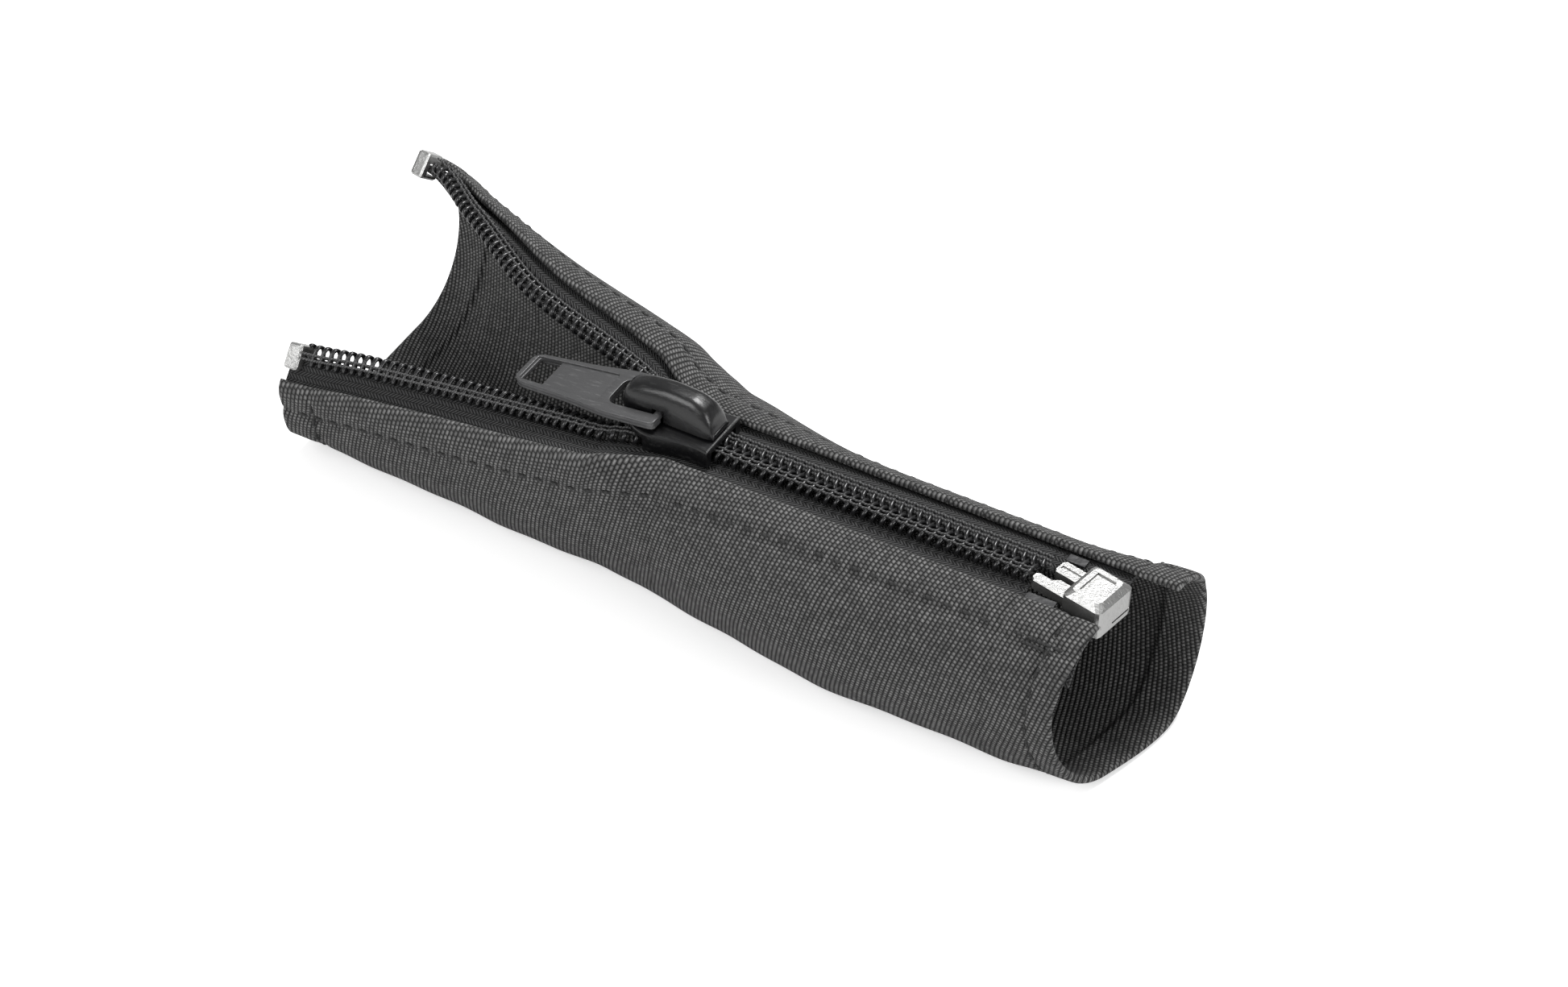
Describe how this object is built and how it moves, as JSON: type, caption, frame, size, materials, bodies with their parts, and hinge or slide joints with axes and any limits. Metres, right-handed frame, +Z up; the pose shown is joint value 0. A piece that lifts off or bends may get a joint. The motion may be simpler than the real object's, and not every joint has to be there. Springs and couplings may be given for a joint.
{
  "type": "zippered cable sleeve",
  "caption": "Woven fabric sleeve with a coil zip along it: zipped to a metal retainer box at one end, parted over its open bore at the other, with a slider and pull tab between.",
  "frame": {"origin": "on the flat of the sleeve's underside, below the zip's centre line and midway along the sleeve", "axes": "+X along the zip towards the retainer box, +Y towards the rear side that spreads at the open end, +Z up"},
  "size_m": [0.1414, 0.0585, 0.0362],
  "materials": {
    "cloth": "woven",
    "tape": "woven",
    "coil": "glossy",
    "core": "twisted",
    "film": "satin",
    "silver": "satin",
    "black_metal": "glossy",
    "spring": "satin",
    "tab": "satin"
  },
  "bodies": {
    "sleeve": {"fabric_sleeve": "cloth", "zipper_tape_front": "tape", "zipper_tape_rear": "tape", "coil_front": "coil", "coil_rear": "coil", "core_cord_front": "core", "core_cord_rear": "core", "end_film_front": "film", "end_film_rear": "film", "top_stop_front": "silver", "top_stop_rear": "silver", "retainer_box": "silver", "retainer_pin": "silver", "insertion_pin": "silver"},
    "slider": {"slider_body": "black_metal", "slider_cover": "black_metal", "lock_spring": "spring"},
    "pull_tab": {"pull_tab": "tab"}
  },
  "joints": [
    {"name": "slider_travel", "type": "slide", "parent": "sleeve", "child": "slider", "axis": [1, 0, 0], "range_m": [0, 0.0502], "deforming": ["coil_front", "coil_rear", "core_cord_front", "core_cord_rear"]},
    {"name": "tab_swing", "type": "hinge", "parent": "slider", "child": "pull_tab", "pos_m": [-0.00825, 0, 0.0318], "axis": [0, 1, 0], "range_deg": [0, 165]}
  ]
}
